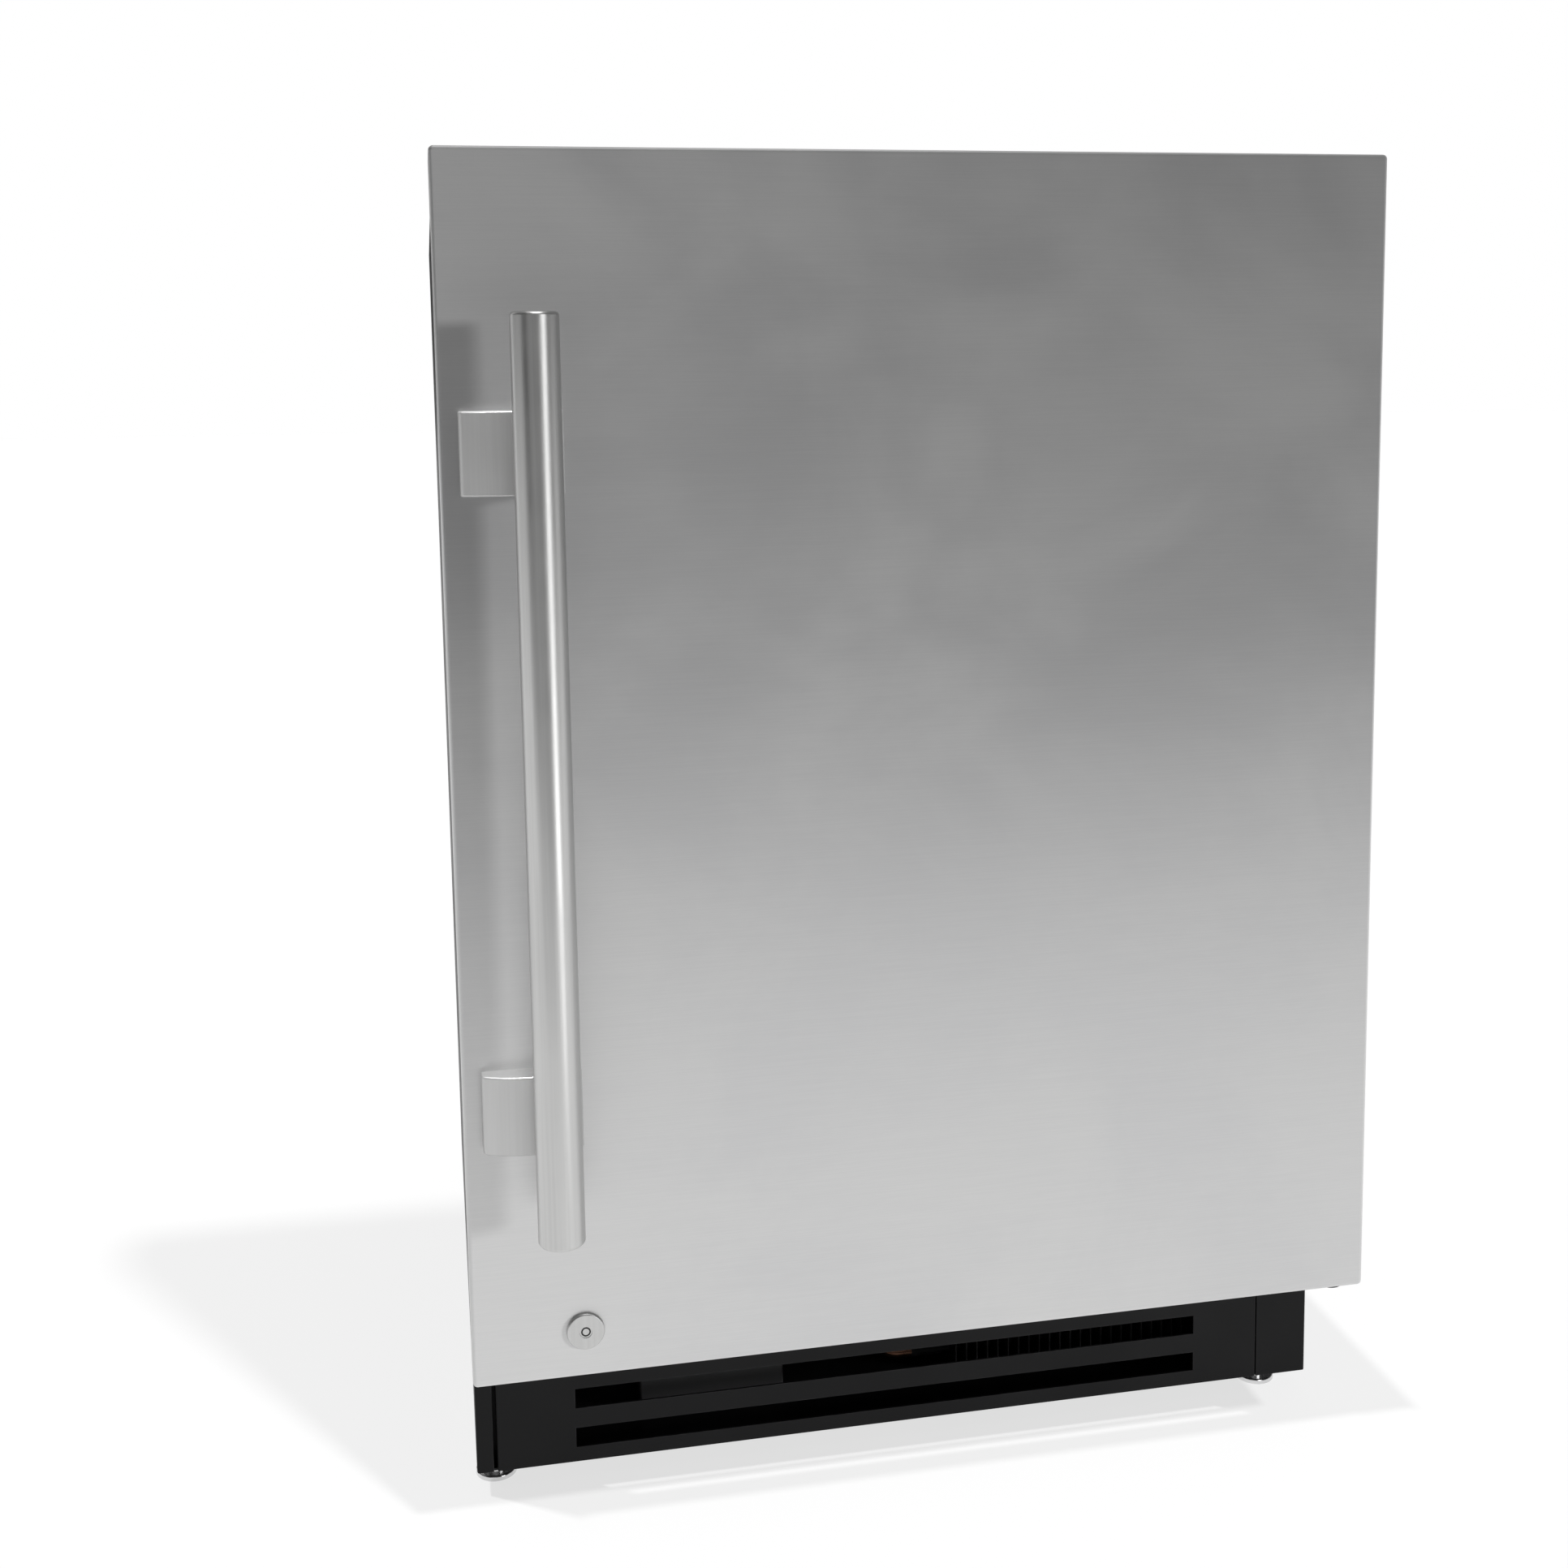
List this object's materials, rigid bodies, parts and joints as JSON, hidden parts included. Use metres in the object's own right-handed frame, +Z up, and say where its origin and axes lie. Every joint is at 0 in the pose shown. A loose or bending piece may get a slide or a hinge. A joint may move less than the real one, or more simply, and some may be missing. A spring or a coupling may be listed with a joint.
{
  "type": "undercounter refrigerator",
  "caption": "Undercounter refrigerator with a stainless overlay door, a vertical bar handle, a key lock and a slotted black kick plate on levelling legs.",
  "frame": {"origin": "on the floor under the legs, at the middle of the overall width and depth, handle included", "axes": "+Z up, -Y towards the door's front, +X to the hinge side (right, seen from the front)"},
  "size_m": [0.606, 0.6843, 0.885],
  "materials": {
    "stainless": "satin",
    "stainless_bar": "satin",
    "black_steel": "satin",
    "galvanised": "satin",
    "plated": "polished",
    "white_liner": "satin",
    "grey_plastic": "satin",
    "black_plastic": "satin",
    "foam": "matte",
    "gasket_rubber": "matte",
    "black_rubber": "matte",
    "aluminium": "satin",
    "copper": "satin",
    "shelf_wire": "satin",
    "light_lens": "satin",
    "display_glass": "gloss"
  },
  "bodies": {
    "cabinet": {"strike_plate": "galvanised", "hinge_pins": "plated", "hinge_plate_top": "black_steel", "hinge_plate_bottom": "black_steel", "cabinet_wrapper": "black_steel", "front_frame": "stainless", "inner_liner": "white_liner", "cabinet_foam": "foam", "belly_pan": "black_steel", "back_panel": "galvanised", "rear_cover": "galvanised", "power_inlet": "black_plastic", "counter_brackets": "galvanised", "cabinet_screws": "plated", "base_rail_left": "black_steel", "base_rail_right": "black_steel", "kick_plate": "black_steel", "base_tray": "black_steel", "leg_nuts": "plated", "condenser_coil": "black_steel", "condenser_fan_motor": "black_plastic", "condenser_fan_shroud": "black_steel", "compressor": "black_steel", "compressor_grommets": "black_rubber", "filter_drier": "copper", "refrigerant_lines": "copper", "drain_pan": "black_plastic", "controller_box": "black_plastic", "evaporator_coil": "aluminium", "evaporator_cover": "white_liner", "evaporator_fan_motor": "black_plastic", "shelf_pilasters": "galvanised", "shelf_clips": "galvanised", "shelf_lower": "shelf_wire", "shelf_upper": "shelf_wire", "light_bar": "light_lens", "control_housing": "grey_plastic", "control_display": "display_glass"},
    "door": {"door_skin": "stainless", "door_foam": "foam", "door_liner": "white_liner", "door_gasket": "gasket_rubber", "handle_bar": "stainless_bar", "handle_bracket_lower": "stainless_bar", "handle_bracket_upper": "stainless_bar", "handle_screws": "plated", "lock_body": "stainless_bar", "lock_nut": "plated", "hinge_bushings": "black_plastic"},
    "lock_cylinder": {"lock_plug": "stainless_bar", "lock_cam": "plated", "lock_cam_screw": "plated"},
    "condenser_fan": {"condenser_fan_blade": "black_plastic"},
    "evaporator_fan": {"evaporator_fan_blade": "black_plastic"},
    "button_up": {"button_up": "grey_plastic"},
    "button_down": {"button_down": "grey_plastic"},
    "leg_front_left": {"leg_front_left": "plated"},
    "leg_front_right": {"leg_front_right": "plated"},
    "leg_rear_left": {"leg_rear_left": "plated"},
    "leg_rear_right": {"leg_rear_right": "plated"}
  },
  "joints": [
    {"name": "door_hinge", "type": "hinge", "parent": "cabinet", "child": "door", "pos_m": [0.288, -0.26985, 0.5], "axis": [0, 0, 1], "range_deg": [0, 110]},
    {"name": "lock_turn", "type": "hinge", "parent": "door", "child": "lock_cylinder", "pos_m": [-0.2317, -0.22385, 0.1508], "axis": [0, 1, 0], "range_deg": [0, 90]},
    {"name": "condenser_fan_spin", "type": "hinge", "parent": "cabinet", "child": "condenser_fan", "pos_m": [0.138, -0.10585, 0.064], "axis": [0, 1, 0], "continuous": true},
    {"name": "evaporator_fan_spin", "type": "hinge", "parent": "cabinet", "child": "evaporator_fan", "pos_m": [0, 0.24315, 0.715], "axis": [0, 1, 0], "continuous": true},
    {"name": "button_up_press", "type": "slide", "parent": "cabinet", "child": "button_up", "axis": [0, 1, 0], "range_m": [0, 0.0015], "stiffness_N_per_m": 500, "springref_m": -0.001},
    {"name": "button_down_press", "type": "slide", "parent": "cabinet", "child": "button_down", "axis": [0, 1, 0], "range_m": [0, 0.0015], "stiffness_N_per_m": 500, "springref_m": -0.001},
    {"name": "leg_front_left_adjust", "type": "slide", "parent": "cabinet", "child": "leg_front_left", "axis": [0, 0, -1], "range_m": [0, 0.02]},
    {"name": "leg_front_right_adjust", "type": "slide", "parent": "cabinet", "child": "leg_front_right", "axis": [0, 0, -1], "range_m": [0, 0.02]},
    {"name": "leg_rear_left_adjust", "type": "slide", "parent": "cabinet", "child": "leg_rear_left", "axis": [0, 0, -1], "range_m": [0, 0.02]},
    {"name": "leg_rear_right_adjust", "type": "slide", "parent": "cabinet", "child": "leg_rear_right", "axis": [0, 0, -1], "range_m": [0, 0.02]}
  ]
}
